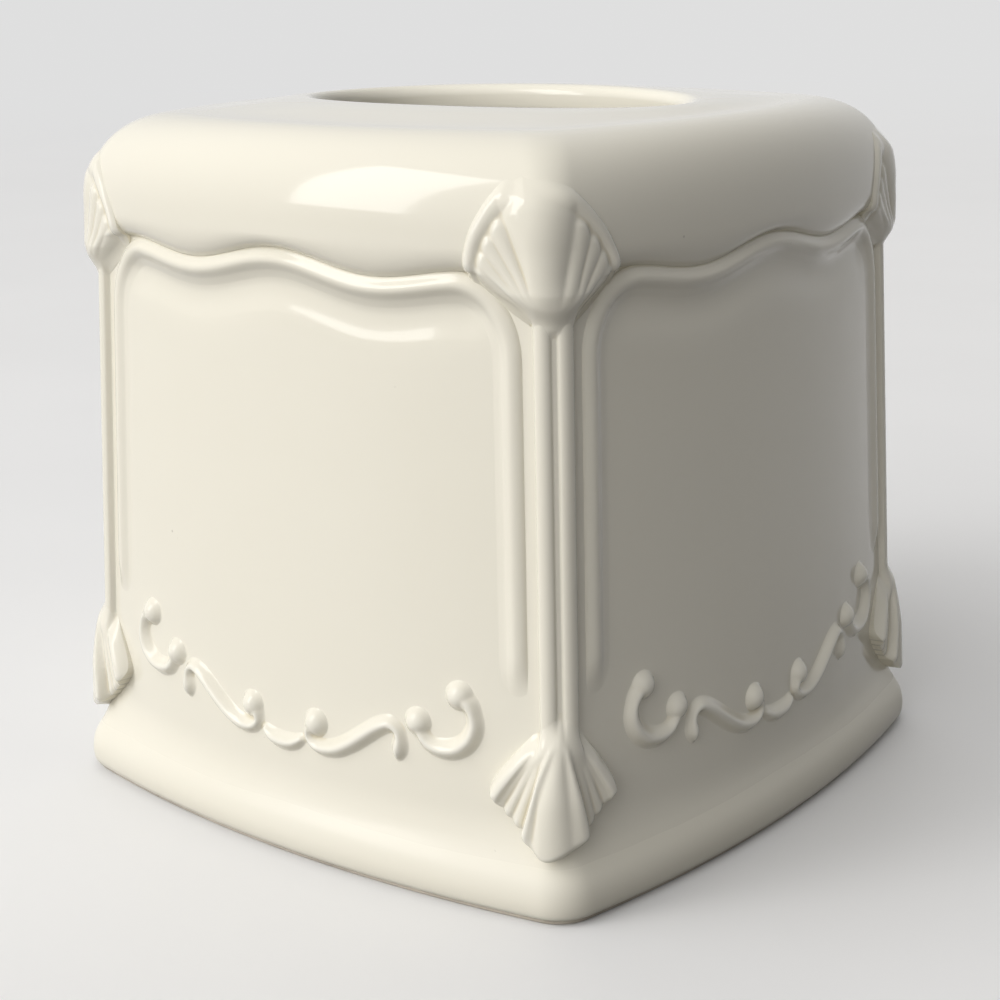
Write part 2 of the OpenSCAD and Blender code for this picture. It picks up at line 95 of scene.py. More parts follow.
class CoverSizes(PropertyGroup):
    """Sizes of the cast body"""
    cover_h: length("Height", "From the table to the crest of the lip", 150)
    half_side: length("Half side", "Half the distance between corners at the foot of the walls", 65.9)
    face_bow: length("Bow", "How far the middle of each face bows out", 8)
    foot_bow: length("Foot bow", "How far the middle of each side of the foot bows out", 6.3)
    corner_r: length("Corner radius", "Radius of the upright corners", 5.2)
    inner_r: length("Inner corner radius", "Radius of the inner upright corners", 4)
    wall_t: length("Wall", "Thickness of the cast walls", 5)
    taper: share("Taper", "Share of the plan lost over the height", 0.082)
    foot_h: length("Foot height", "Height of the rolled foot without its cove", 11)
    foot_out: length("Foot roll", "How far the roll stands out", 4.8)
    cove_h: length("Cove", "Height of the cove over the roll", 2.4)
    rim_h: length("Rim height", "Height of the unglazed rim", 1)
    rim_w: length("Rim width", "Width of the unglazed rim", 5.4)
    rim_inset: length("Rim inset", "How far the rim is set back under the roll", 1.1)
    hem_h: length("Hem height", "Middle height of the wavy hem", 123.7)
    wave_h: length("Wave height", "Height of each crest of the wave", 1.65)
    wave_len: length("Wave length", "Distance between two crests", 47)
    wave_drop: length("Wave drop", "How far the hem sinks toward the corners", 3.3)
    swell_out: length("Swell", "How far the top cover swells out", 3.1)
    swell_rise: length("Swell rise", "Rise from the hem to the widest place", 4.5)
    crown_rise: length("Crown rise", "Rise from the shoulder's end to the crest of the lip", 2)
    top_half: length("Top half side", "Half the distance between corners where the shoulder ends", 51)
    top_bow: length("Top bow", "Bow of the sides where the shoulder ends", 7.5)
    top_corner_r: length("Top corner radius", "Corner radius where the shoulder ends", 10)
    opening_len: length("Opening length", "Opening from crest to crest, along X", 96)
    opening_w: length("Opening width", "Opening from crest to crest, along Y", 65)
    lip_r: length("Lip radius", "Radius of the rolled lip", 2.4)
    lip_dip: length("Lip dip", "Dip of the lip at the two ends of the opening", 0.7)
    top_t: length("Top thickness", "Thickness of the cast top", 5.2)


class ReliefSizes(PropertyGroup):
    """Sizes of the mouldings and of the applied ornament"""
    bead_w: length("Bead width", "Width of the bead under the hem", 3.3)
    bead_proud: length("Bead height", "Height of the bead over the wall", 1.6)
    bead_gap: length("Bead groove", "Groove between the hem and the bead", 0.8)
    scoop: length("Scoop", "Depth of the soft hollow under the bead", 0.75)
    frame_proud: length("Frame height", "Height of the frame's upright sides", 1.1)
    frame_in: length("Frame inset", "From the corner to the crest of the frame's sides", 6.7)
    frame_out: length("Frame flank", "Width of the outer half of the frame's sides", 2.15)
    frame_slope: length("Frame slope", "Width of the frame's soft inner slope", 4.6)
    turn_w: length("Turn width", "Half axis of the frame's upper corner along the face", 10.5)
    turn_h: length("Turn height", "Half axis of the frame's upper corner upward", 13)
    reed_w: length("Reed width", "Width of each corner reed", 3.3)
    reed_proud: length("Reed height", "Height of the reeds over the wall", 1.7)
    arris_gap: length("Arris groove", "Groove between the two reeds", 0.7)
    low_hinge: length("Lower hinge", "Height of the lower shells' hinge", 40.5)
    low_len: length("Lower shell", "Length of the lower shells", 27.8)
    high_hinge: length("Upper hinge", "Height of the upper shells' hinge", 114)
    high_len: length("Upper shell", "Length of the upper shells", 29)
    low_proud: length("Lower shell height", "How far the lower shells stand out over the walls", 4.9)
    high_proud: length("Upper shell height", "How far the upper shells stand out over the top cover", 1.5)
    garland_half: length("Garland half width", "Half the width of the garland", 46.8)
    garland_h: length("Garland height", "Height of its lowest point", 24.6)
    garland_rise: length("Garland rise", "Rise from its lowest point to the outer balls", 18.5)
    stroke_w: length("Stroke width", "Width of the strokes at their broadest", 3.2)
    stroke_proud: length("Stroke height", "Height of the strokes over the wall", 1.8)


class GlazeLook(PropertyGroup):
    """Colours and finish of the glaze and of the bare clay"""
    glaze: tint("Glaze", "Body of the cream glaze", (0.80, 0.765, 0.655))
    pool: tint("Pooled glaze", "Glaze where it lies thick in hollows", (0.66, 0.59, 0.42))
    thin: tint("Thin glaze", "Glaze where it runs thin over edges", (0.86, 0.84, 0.76))
    speck: tint("Speck", "Iron specks in the glaze", (0.16, 0.12, 0.08))
    clay: tint("Clay", "Bare clay of the rim", (0.62, 0.56, 0.47))
    gloss: share("Roughness", "Roughness of the glaze", 0.1)


class StageLook(PropertyGroup):
    """Floor, light and camera"""
    floor: tint("Floor", "Plain pale floor", (0.86, 0.86, 0.86))
    bounce: tint("Bounce", "Floor as it lights the cover from below", (0.1, 0.092, 0.08))
    far: tint("Backdrop", "Floor where it runs out behind the cover", (0.74, 0.74, 0.74))
    key: amount("Key lamp", "Power of the tall window-like lamp", 5.6, unit="POWER")
    fill: amount("Fill", "Light from the horizon all round", 0.02)
    sky: amount("Sky", "Light that is added toward the zenith", 0.34)
    side: amount("Side light", "Soft light from the side of the window", 2.25)
    back: amount("Back light", "Soft light from behind, on the left", 0.7)
    lens: amount("Lens", "Focal length of the camera", 70.82, subtype="DISTANCE_CAMERA", unit="CAMERA")


# Surfaces of the body, in millimetres


def bow_radius(half, bow):
    return (half * half + bow * bow) / (2 * bow)


def bow_angle(half, bow):
    return np.arcsin(half / bow_radius(half, bow))


def face_plan(angle, half, bow, r, lift):
    """Point of a face, or of the corner after it, where the normal has this angle"""
    inner = half - r
    reach, big = bow_angle(inner, bow), bow_radius(inner, bow)
    flat = np.abs(angle) <= reach
    wide, tight = big + r + lift, r + lift
    x = np.where(flat, inner + bow - big + wide * np.cos(angle), inner + tight * np.cos(angle))
    y = np.where(flat, wide * np.sin(angle), np.sign(angle) * inner + tight * np.sin(angle))
    return x, y


def smooth(x, low, high):
    """0 below low, 1 above high and smooth between them"""
    t = np.clip((x - low) / (high - low), 0, 1)
    return t * t * (3 - 2 * t)


def dome(t):
    """Quarter round: 0 at 0 with an upright start, 1 from 1 on"""
    return np.sqrt(1 - (1 - np.clip(t, 0, 1)) ** 2)


def soft_max(a, b, k):
    """The larger of two values, blended over about k where they are close"""
    return (a + b + np.sqrt((a - b) ** 2 + k * k)) / 2


def curve(x, knots, values):
    """Values between knots along a smooth line"""
    fine = np.linspace(knots[0], knots[-1], 400)
    kernel = np.hanning(63)[1:-1] / np.hanning(63).sum()
    line = np.pad(np.interp(fine, knots, values), 30, mode="reflect", reflect_type="odd")
    return np.interp(x, fine, np.convolve(line, kernel, mode="valid"))


def spaced(points, step):
    """Points along a broken line, evenly spaced and softened like a thick glaze"""
    points = np.asarray(points, float)
    run = np.concatenate([[0], np.cumsum(np.linalg.norm(np.diff(points, axis=0), axis=1))])
    at = np.linspace(0, run[-1], max(3, int(run[-1] / step)))
    line = np.stack([np.interp(at, run, points[:, k]) for k in range(points.shape[1])], -1)
    for _ in range(5):
        line[1:-1] = (line[:-2] + 2 * line[1:-1] + line[2:]) / 4
    return line


def turned(points, quarter):
    """Points turned about the cover's axis by quarters of a turn"""
    c, s = math.cos(quarter * QUARTER), math.sin(quarter * QUARTER)
    x, y, z = np.moveaxis(points, -1, 0)
    return np.stack([x * c - y * s, x * s + y * c, z], -1)


class Body:
    """The sizes in millimetres, and the surfaces that they give"""

    def __init__(self):
        for group in (bpy.context.scene.cover_sizes, bpy.context.scene.relief_sizes):
            for p in group.bl_rna.properties:
                if p.type == "FLOAT":
                    scale = 1 / MM if p.unit == "LENGTH" else 1
                    setattr(self, p.identifier, getattr(group, p.identifier) * scale)
        self.wall_foot_z = self.foot_h + self.cove_h
        self.swell_h = self.hem_h + self.swell_rise
        self.shoulder_h = self.cover_h - self.crown_rise
        self.under_z = self.shoulder_h - self.top_t
        inner = self.half_side - self.corner_r
        self.reach = bow_angle(inner, self.face_bow)
        self.big = bow_radius(inner, self.face_bow) + self.corner_r
        self.half_arc = self.corner_r * (QUARTER / 2 - self.reach)
        end = self.big * self.reach
        half = np.concatenate([np.arange(0, 4, 0.4), np.arange(4, 28, 0.7), np.arange(28, end - 0.9, 1.5),
                               [end]])
        face = np.concatenate([half, 2 * end - half[-2::-1]]) / end - 1
        corner_n = 16
        place = np.concatenate([face, 1 + 2 * np.arange(1, corner_n) / corner_n])
        self.place = np.tile(place, 4)
        self.quarter = np.repeat(np.arange(4), len(place))
        self.face_u = self.big * np.sin(self.reach * np.clip(self.place, -1, 1))
        self.hem = self.hem_z(self.face_u * self.wall_share(self.hem_h))

    def wall_share(self, z):
        return 1 - self.taper * (z - self.foot_h) / self.cover_h

    def hem_z(self, u):
        return (self.hem_h + self.wave_h * np.cos(2 * math.pi * u / self.wave_len)
                - self.wave_drop * (u / self.half_side) ** 2)

    def bead_z(self, u):
        return self.hem_z(u) - self.bead_gap - self.bead_w / 2

    def outline(self, half, bow, r, lift=0):
        """Ring round the body, with the same number of points at every height"""
        reach = bow_angle(half - r, bow)
        angle = np.where(self.place <= 1, reach * self.place,
                         reach + (QUARTER - 2 * reach) * (self.place - 1) / 2)
        x, y = face_plan(angle, half, bow, r, lift)
        a = self.quarter * QUARTER
        return np.stack([x * np.cos(a) - y * np.sin(a), x * np.sin(a) + y * np.cos(a)], -1)

    def bow(self, z):
        """Bow of the sides, which grows from the foot to the walls"""
        return self.foot_bow + (self.face_bow - self.foot_bow) * smooth(z, BOW_FROM, BOW_TO)

    def wall_ring(self, z, lift=0):
        s = self.wall_share(z)
        return self.outline(self.half_side * s, self.bow(z) * s, self.corner_r * s, lift)

    def inside_ring(self, z, t):
        s = self.wall_share(z) - t / (self.half_side + self.face_bow)
        return self.outline(self.half_side * s, self.bow(z) * s, self.inner_r)

    def roll_out(self, t):
        """How far the roll stands out at a share of the foot's height"""
        return self.foot_out * np.sqrt(1 - ((t - ROLL_LOW) / ROLL_SPAN) ** 2)

    def cove_out(self, z):
        """Soft hollow that carries the roll up into the walls"""
        start = COVE_FROM * self.foot_h
        return self.roll_out(COVE_FROM) * np.clip(1 - (z - start) / COVE_RUN, 0, 1) ** 2

    def on_face(self, u, z, lift):
        """Point over the face that looks along +X, from its middle line and the table"""
        s = self.wall_share(z)
        x, y = face_plan(np.arcsin(u / (s * self.big)), self.half_side * s, self.face_bow * s,
                         self.corner_r * s, lift)
        return np.stack(np.broadcast_arrays(x, y, z), -1)

    def corner_turn(self, s, z):
        """Angle of the normal at a distance round the corner between +X and +Y"""
        share = self.wall_share(z)
        half_arc = self.half_arc * share
        turn = np.where(np.abs(s) < half_arc, np.abs(s) / (self.corner_r * share),
                        QUARTER / 2 - self.reach + (np.abs(s) - half_arc) / (self.big * share))
        return QUARTER / 2 - turn

    def on_corner(self, s, z, lift):
        share = self.wall_share(z)
        x, y = face_plan(self.corner_turn(s, z), self.half_side * share, self.face_bow * share,
                         self.corner_r * share, lift)
        return np.stack(np.broadcast_arrays(np.where(s >= 0, x, y), np.where(s >= 0, y, x), z), -1)

    def scoop_depth(self, u, z):
        """Soft hollow of the wall under the bead, which dies out before the frame's turns"""
        d = self.bead_z(u) - z
        down = smooth(d, 1.5, 5.2) * (1 - smooth(d, 5.6, 12.5))
        edge = self.corner_u(self.hem_h) - self.frame_in
        return self.scoop * down * (1 - smooth(np.abs(u), edge - 9, edge - 1.5))

    def corner_u(self, z):
        """Distance from a face's middle line to its corner"""
        return (self.half_side - self.corner_r / 2) * self.wall_share(z)


def level(ring, z):
    """Row of points from a ring in plan and its height"""
    return np.column_stack([ring, np.broadcast_to(z, len(ring))])


def body_loop(b):
    """Closed section of the whole casting: rows of points, and the first row of each piece"""
    rows, marks = [], {}
    # Roll and cove of the foot, from the rim up
    start, stop = (math.asin((t - ROLL_LOW) / ROLL_SPAN) for t in (b.rim_h / b.foot_h, COVE_FROM))
    roll = [[b.foot_out * math.cos(a), b.foot_h * (ROLL_LOW + ROLL_SPAN * math.sin(a))]
            for a in np.linspace(start, stop, 40)]
    cove = [[b.cove_out(z), z] for z in np.linspace(roll[-1][1], b.wall_foot_z, 10)[1:]]
    foot = spaced([[roll[0][0] - UNDER_ROLL, b.rim_h]] + roll + cove, 0.45)
    marks["foot"] = 0
    rows += [level(b.wall_ring(z, lift), z) for lift, z in foot]
    rows[-1] = level(b.wall_ring(b.wall_foot_z, b.cove_out(b.wall_foot_z)), b.wall_foot_z)
    marks["wall"] = len(rows) - 1
    # Rows lie closer together where the walls curve more, over the cove and under the hem
    wall = np.concatenate([np.arange(b.wall_foot_z + 0.6, 21, 0.8), np.arange(22, b.hem_h - 14, 2.2),
                           np.arange(b.hem_h - 13, b.hem_h - 1.3, 0.6),
                           b.hem_h - np.array([1.2, 0.95, 0.7, 0.5, 0.34, 0.2, 0.09, 0])])
    u = b.face_u
    for zz in wall:
        bend = smooth(zz, WAVE_FROM, b.hem_h - 14)
        z = zz + (b.hem - b.hem_h) * bend
        d = b.hem_h - zz
        lift = HEM_FILLET * (1 - math.sqrt(1 - ((HEM_FILLET - d) / HEM_FILLET) ** 2)) if d < HEM_FILLET else 0
        lift = lift + b.cove_out(zz) - b.scoop_depth(u * b.wall_share(z), z) * (b.place <= 1)
        rows.append(level(b.wall_ring(z, lift), z))
    marks["cover"] = len(rows) - 1
    # Edge of the top cover, from the hem out to its widest place, and the shoulder over it
    hem_ring, swell_ring = b.wall_ring(b.hem), b.wall_ring(b.swell_h, b.swell_out)
    top_ring = b.outline(b.top_half, b.top_bow, b.top_corner_r)
    for a in np.linspace(math.asin(HEM_FILLET / b.swell_out), QUARTER, 13)[1:]:
        rows.append(level(hem_ring + (swell_ring - hem_ring) * math.sin(a),
                          b.hem + (b.swell_h - b.hem) * (1 - math.cos(a))))
    for a in np.linspace(0, QUARTER, 27)[1:]:
        f = (1 - math.cos(a)) ** SHOULDER_POWER
        rows.append(level(swell_ring + (top_ring - swell_ring) * f,
                          b.swell_h + (b.shoulder_h - b.swell_h) * math.sin(a)))
    # Crown, from the shoulder up to the crest of the lip, then the round lip and the cover's underside
    around = np.arctan2(top_ring[:, 1], top_ring[:, 0])
    crest = b.cover_h - b.lip_dip * (1 + np.cos(2 * around)) / 2

    def oval(grow):
        return np.column_stack([(b.opening_len / 2 + grow) * np.cos(around),
                                (b.opening_w / 2 + grow) * np.sin(around)])

    for t in np.linspace(0, 1, 17)[1:]:
        rows.append(level(top_ring + (oval(0) - top_ring) * t,
                          b.shoulder_h + (crest - b.shoulder_h) * smooth(t, 0, 1)))
    for a in np.linspace(0, QUARTER, 10)[1:]:
        rows.append(level(oval(-b.lip_r * math.sin(a)), crest - b.lip_r * (1 - math.cos(a))))
    for a in np.linspace(QUARTER, 0, 8):
        rows.append(level(oval(-b.lip_r * math.sin(a)), b.under_z + b.lip_r * (1 - math.cos(a))))
    for t in np.linspace(0, 1, 7)[1:]:
        rows.append(level(oval(0) + (top_ring - oval(0)) * t, b.under_z))
    # Inside of the shoulder, the walls and the foot, down to the rim
    under = b.inside_ring(b.swell_h, b.wall_t)
    for a in np.linspace(QUARTER, 0, 15)[1:]:
        rows.append(level(under + (top_ring - under) * (1 - math.cos(a)) ** SHOULDER_POWER,
                          b.swell_h + (b.under_z - b.swell_h) * math.sin(a)))
    rows.append(level(b.inside_ring(b.hem_h, b.wall_t), b.hem))
    marks["inside"] = len(rows) - 1
    for t in np.linspace(0, 1, 25)[1:]:
        z = b.hem + (b.wall_foot_z - b.hem) * t
        rows.append(level(b.inside_ring(z, b.wall_t), z))
    marks["heel"] = len(rows) - 1
    for t in np.linspace(0, 1, 8)[1:]:
        z = b.wall_foot_z + (b.rim_h - b.wall_foot_z) * t
        rows.append(level(b.inside_ring(z, b.wall_t), z))
    marks["end"] = len(rows) - 1
    return np.array(rows), marks


# Meshes


# Hollowness of an ornament's rim, and the bend, in one over metres, that counts as 1
RIM_HOLLOW, FULL_BEND = 0.35, 1 / (1.2 * MM)


def unit(v):
    return v / np.maximum(np.linalg.norm(v, axis=-1, keepdims=True), 1e-12)


def make_mesh(name, points, faces, normals=None, sharp=None, seams=()):
    """Object from points in millimetres, with a normal for each face corner or a list of sharp edges"""
    mesh = bpy.data.meshes.new(name)
    mesh.from_pydata((points * MM).tolist(), [], faces.tolist() if isinstance(faces, np.ndarray) else faces)
    mesh.shade_smooth()
    if normals is not None:
        mesh.normals_split_custom_set(normals.reshape(-1, 3).tolist())
    if sharp is not None:
        marks = set(map(tuple, np.sort(np.asarray(sharp), axis=1).tolist()))
        for edge in mesh.edges:
            a, b = edge.vertices
            edge.use_edge_sharp = (min(a, b), max(a, b)) in marks
        hollow(mesh, np.unique(sharp), RIM_HOLLOW)
    else:
        hollow(mesh, seams, 0.0)
    piece = bpy.data.objects.new(name, mesh)
    bpy.context.scene.collection.objects.link(piece)
    return piece


def hollow(mesh, border, at_border):
    """Stores how hollow the surface is at each point: above zero in grooves, below zero on edges"""
    n = len(mesh.vertices)
    co, no = np.empty(n * 3), np.empty(n * 3)
    mesh.vertices.foreach_get("co", co)
    mesh.vertices.foreach_get("normal", no)
    co, no = co.reshape(-1, 3), no.reshape(-1, 3)
    ends = np.empty(len(mesh.edges) * 2, int)
    mesh.edges.foreach_get("vertices", ends)
    a, c = ends.reshape(-1, 2).T
    way = co[c] - co[a]
    size = np.linalg.norm(way, axis=1) + 1e-9
    bend = ((no[a] - no[c]) * way).sum(1) / size ** 2
    weight = np.bincount(a, size, n) + np.bincount(c, size, n) + 1e-12
    value = (np.bincount(a, bend * size, n) + np.bincount(c, bend * size, n)) / weight
    value[np.asarray(border, int)] = at_border * FULL_BEND
    for _ in range(4):
        near = np.bincount(a, value[c] * size, n) + np.bincount(c, value[a] * size, n)
        value = 0.5 * value + 0.5 * near / weight
    value = np.clip(value / FULL_BEND, -1, 1)
    mesh.attributes.new("hollow", "FLOAT", "POINT").data.foreach_set("value", value.astype(np.float32))


def finish_piece(piece, material, node):
    """Gives a piece its finish, and puts it in the place of its CAD node"""
    piece.data.materials.append(material)
    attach(piece, "root")
    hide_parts(node)


def glaze_all_round(places, kinds):
    """Makes glazed pieces on all four faces or corners, each kind by a call with a name and a quarter"""
    for quarter, place in enumerate(places):
        for kind, make in kinds.items():
            finish_piece(make(f"{kind}_{place}_glazed", quarter), cream_glaze(), f"{kind}_{place}")


def grid_faces(m, n, wrap=False):
    """Quads of a grid of m rows by n columns"""
    j, i = np.meshgrid(np.arange(m - 1), np.arange(n if wrap else n - 1), indexing="ij")
    k = (i + 1) % n
    return np.stack([j * n + i, j * n + k, (j + 1) * n + k, (j + 1) * n + i], -1).reshape(-1, 4)


def skin_piece(name, loop, normals, runs):
    """Closed solid from runs of rows of the body's loop, joined end to start by seam faces"""
    count = loop.shape[1]
    points, faces, corner_normals = [], [], []
    offset = 0
    ends = []
    for first, last in runs:
        m = last - first + 1
        f = grid_faces(m, count, wrap=True)
        faces.append(f + offset)
        corner_normals.append(normals[first:last + 1].reshape(-1, 3)[f])
        points.append(loop[first:last + 1].reshape(-1, 3))
        ends.append((offset, offset + (m - 1) * count))
        offset += m * count
    points = np.concatenate(points)
    i = np.arange(count)
    k = (i + 1) % count
    seams = np.concatenate([start + i for pair in ends for start in pair])
    for number, (_, tail) in enumerate(ends):
        head = ends[(number + 1) % len(ends)][0]
        f = np.stack([tail + i, tail + k, head + k, head + i], -1)
        flat = unit(np.cross(points[f[:, 2]] - points[f[:, 0]], points[f[:, 3]] - points[f[:, 1]]))
        faces.append(f)
        corner_normals.append(np.repeat(flat[:, None], 4, axis=1))
    return make_mesh(name, points, np.concatenate(faces), normals=np.concatenate(corner_normals), seams=seams)


def relief(parts, name, quarter):
    """Closed solids, each from a front and a back grid of points that share their layout"""
    points, faces, sharp = [], [], []
    offset = 0
    for front, back in parts:
        m, n = front.shape[:2]
        f = grid_faces(m, n)
        size = m * n
        edge = np.concatenate([np.arange(n), np.arange(1, m) * n + n - 1,
                               (m - 1) * n + np.arange(n - 2, -1, -1), np.arange(m - 2, 0, -1) * n])
        ahead = np.roll(edge, -1)
        sides = np.stack([ahead, edge, edge + size, ahead + size], -1)
        faces.append(np.concatenate([f, f[:, ::-1] + size, sides]) + offset)
        points += [front.reshape(-1, 3), back.reshape(-1, 3)]
        sharp += [np.stack([edge, ahead], -1) + offset, np.stack([edge, ahead], -1) + offset + size]
        offset += 2 * size
    points = turned(np.concatenate(points), quarter)
    return make_mesh(name, points, np.concatenate(faces), sharp=np.concatenate(sharp))


def loop_with_normals(b):
    """Rows of the body's loop, their normals and the first row of each piece"""
    loop, marks = body_loop(b)
    along = np.roll(loop, -1, axis=1) - np.roll(loop, 1, axis=1)
    ahead, behind = np.roll(loop, -1, axis=0) - loop, loop - np.roll(loop, 1, axis=0)
    return loop, unit(np.cross(along, unit(ahead) + unit(behind))), marks


# Node work


class Value:
    """A socket that takes part in Python expressions and adds a Math node for each operation"""

    def __init__(self, shader, socket):
        self.shader, self.socket = shader, socket

    def math(self, operation, *others):
        return self.shader.node("Math", {"operation": operation}, dict(enumerate((self,) + others)))

    def __add__(self, other): return self.math("ADD", other)
    def __radd__(self, other): return self.math("ADD", other)
    def __mul__(self, other): return self.math("MULTIPLY", other)
    def __rmul__(self, other): return self.math("MULTIPLY", other)
    def __sub__(self, other): return self.math("SUBTRACT", other)
    def __rsub__(self, other): return (self * -1) + other
    def __gt__(self, other): return self.math("GREATER_THAN", other)

    def ramp(self, low, high):
        """0 below low, 1 above high and smooth between them"""
        return self.shader.node("MapRange", {"interpolation_type": "SMOOTHSTEP"},
                                {0: self, 1: low, 2: high, 3: 0.0, 4: 1.0})


class Shader:
    """Node tree of a material or of the world, emptied and built anew"""

    def __init__(self, owner):
        self.owner = owner
        owner.use_nodes = True
        self.tree = owner.node_tree
        self.tree.nodes.clear()

    def node(self, kind, settings=None, inputs=None, output=0):
        """Adds a node of a kind, with its settings first, and gives one of its outputs"""
        made = self.tree.nodes.new("ShaderNode" + kind)
        for key, value in (settings or {}).items():
            setattr(made, key, value)
        for key, value in (inputs or {}).items():
            self.feed(made.inputs[key], value)
        return Value(self, made.outputs[output]) if len(made.outputs) else None

    def feed(self, socket, value):
        if isinstance(value, Value):
            self.tree.links.new(value.socket, socket)
        elif isinstance(value, (tuple, list)) and len(value) == 3 and socket.type == "RGBA":
            socket.default_value = (*value, 1)
        else:
            socket.default_value = value

    def mix(self, factor, a, b):
        return self.node("Mix", {"data_type": "RGBA"}, {0: factor, 6: a, 7: b}, output=2)

    def noise(self, scale, detail):
        return self.node("TexNoise", {}, {"Vector": self.place(), "Scale": scale, "Detail": detail})

    def place(self):
        return self.node("TexCoord", output="Object")

    def seen(self):
        """1 for the rays that show this to the camera, straight, mirrored or through glass"""
        camera, glossy, clear = (self.node("LightPath", output=f"Is {kind} Ray")
                                 for kind in ("Camera", "Glossy", "Transmission"))
        return camera.math("MAXIMUM", glossy).math("MAXIMUM", clear)

    def surface(self, **sockets):
        inputs = {name.replace("_", " "): value for name, value in sockets.items()}
        shader = self.node("BsdfPrincipled", {}, inputs)
        self.node("OutputMaterial", {}, {"Surface": shader})
        return self.owner


# Height in metres up to which the glaze is rubbed dull, and the one from which it is bright
WORN_FOOT = 0.007, 0.02


def cream_glaze():
    """Glossy cream glaze, warmer where it pools, paler where it runs thin and rubbed dull at the foot"""
    known = bpy.data.materials.get("cream_glaze")
    if known:
        return known
    look = bpy.context.scene.glaze_look
    s = Shader(bpy.data.materials.new("cream_glaze"))
    hollows = s.node("Attribute", {"attribute_name": "hollow"}, output=2)
    cloud = s.noise(22.0, 3.0)
    pooled = (hollows + (cloud - 0.5) * 0.25).ramp(0.1, 0.75)
    edges = (hollows * -1).ramp(0.12, 0.7)
    paler = tuple((a + b) / 2 for a, b in zip(look.glaze, look.thin))
    colour = s.mix((cloud - 0.35) * 0.5, tuple(look.glaze), paler)
    colour = s.mix(pooled * 0.7, colour, tuple(look.pool))
    colour = s.mix(edges * 0.55, colour, tuple(look.thin))
    speckle = s.node("TexVoronoi", {}, {"Vector": s.place(), "Scale": 90.0, "Randomness": 1.0})
    speck = (1 - speckle.ramp(0.02, 0.045)) * (s.noise(140.0, 0.0) > 0.66)
    colour = s.mix(speck * 0.55, colour, tuple(look.speck))
    uneven = s.noise(38.0, 1.0) * 0.9 + s.noise(420.0, 2.0) * 0.045
    bump = s.node("Bump", {}, {"Strength": 0.16, "Distance": 0.001, "Height": uneven})
    height = s.node("SeparateXYZ", {}, {0: s.place()}, output=2)
    low = 1 - height.ramp(*WORN_FOOT)
    rough = (cloud - 0.5) * 0.05 + low * 0.22 + look.gloss
    return s.surface(Base_Color=colour, Roughness=rough, Normal=bump, IOR=1.5, Coat_Weight=(1 - low) * 0.35,
                     Coat_Roughness=0.03, Coat_IOR=1.5)


def bare_clay():
    """Matt fired clay with a fine grain"""
    look = bpy.context.scene.glaze_look
    s = Shader(bpy.data.materials.new("bare_clay"))
    grain = s.noise(900.0, 4.0)
    stain = s.noise(60.0, 3.0)
    colour = s.mix(stain.ramp(0.35, 0.7), tuple(look.clay), tuple(0.78 * c for c in look.clay))
    colour = s.mix((grain - 0.5) * 0.35, colour, tuple(look.speck))
    bump = s.node("Bump", {}, {"Strength": 0.5, "Distance": 0.0002, "Height": grain})
    return s.surface(Base_Color=colour, Roughness=grain * 0.2 + 0.72, Normal=bump)


# Pieces


class COVER_OT_foot(Operator):
    """Makes the rolled foot and the bare rim under it"""
    bl_idname = "tissue_cover.foot"
    bl_label = "Foot and rim"

    def execute(self, context):
        b = Body()
        loop, normals, marks = loop_with_normals(b)
        runs = [(marks["foot"], marks["wall"]), (marks["heel"], marks["end"])]
        finish_piece(skin_piece("foot_roll", loop, normals, runs), cream_glaze(), "foot_moulding")
        outer_lift = b.roll_out(b.rim_h / b.foot_h) - b.rim_inset
        outer, inner = b.wall_ring(0, outer_lift), b.inside_ring(0, b.rim_w - outer_lift)
        # Share of the way from the inner to the outer side, and height: a flat sole with softened edges
        section = [[0, b.rim_h], [0, 0.25], [0.02, 0.08], [0.05, 0], [0.5, 0], [0.95, 0], [0.98, 0.08],
                   [1, 0.25], [1, b.rim_h]]
        rows = np.array([level(inner + (outer - inner) * f, z) for f, z in section])
        m, n = rows.shape[:2]
        i = np.arange(n)
        k, last = (i + 1) % n, (m - 1) * n
        faces = np.concatenate([grid_faces(m, n, wrap=True), np.stack([last + i, last + k, k, i], -1)])
        rim = make_mesh("bare_rim", rows.reshape(-1, 3), faces)
        finish_piece(rim, bare_clay(), "foot_rim")
        return {"FINISHED"}


class COVER_OT_walls(Operator):
    """Makes the four bowed walls, outside and inside"""
    bl_idname = "tissue_cover.walls"
    bl_label = "Walls"

    def execute(self, context):
        loop, normals, marks = loop_with_normals(Body())
        runs = [(marks["wall"], marks["cover"]), (marks["inside"], marks["heel"])]
        finish_piece(skin_piece("walls", loop, normals, runs), cream_glaze(), "wall_shell")
        return {"FINISHED"}


class COVER_OT_top(Operator):
    """Makes the swelling top cover with its oval opening"""
    bl_idname = "tissue_cover.top"
    bl_label = "Top cover"

    def execute(self, context):
        loop, normals, marks = loop_with_normals(Body())
        runs = [(marks["cover"], marks["inside"])]
        finish_piece(skin_piece("top", loop, normals, runs), cream_glaze(), "top_cover")
        return {"FINISHED"}


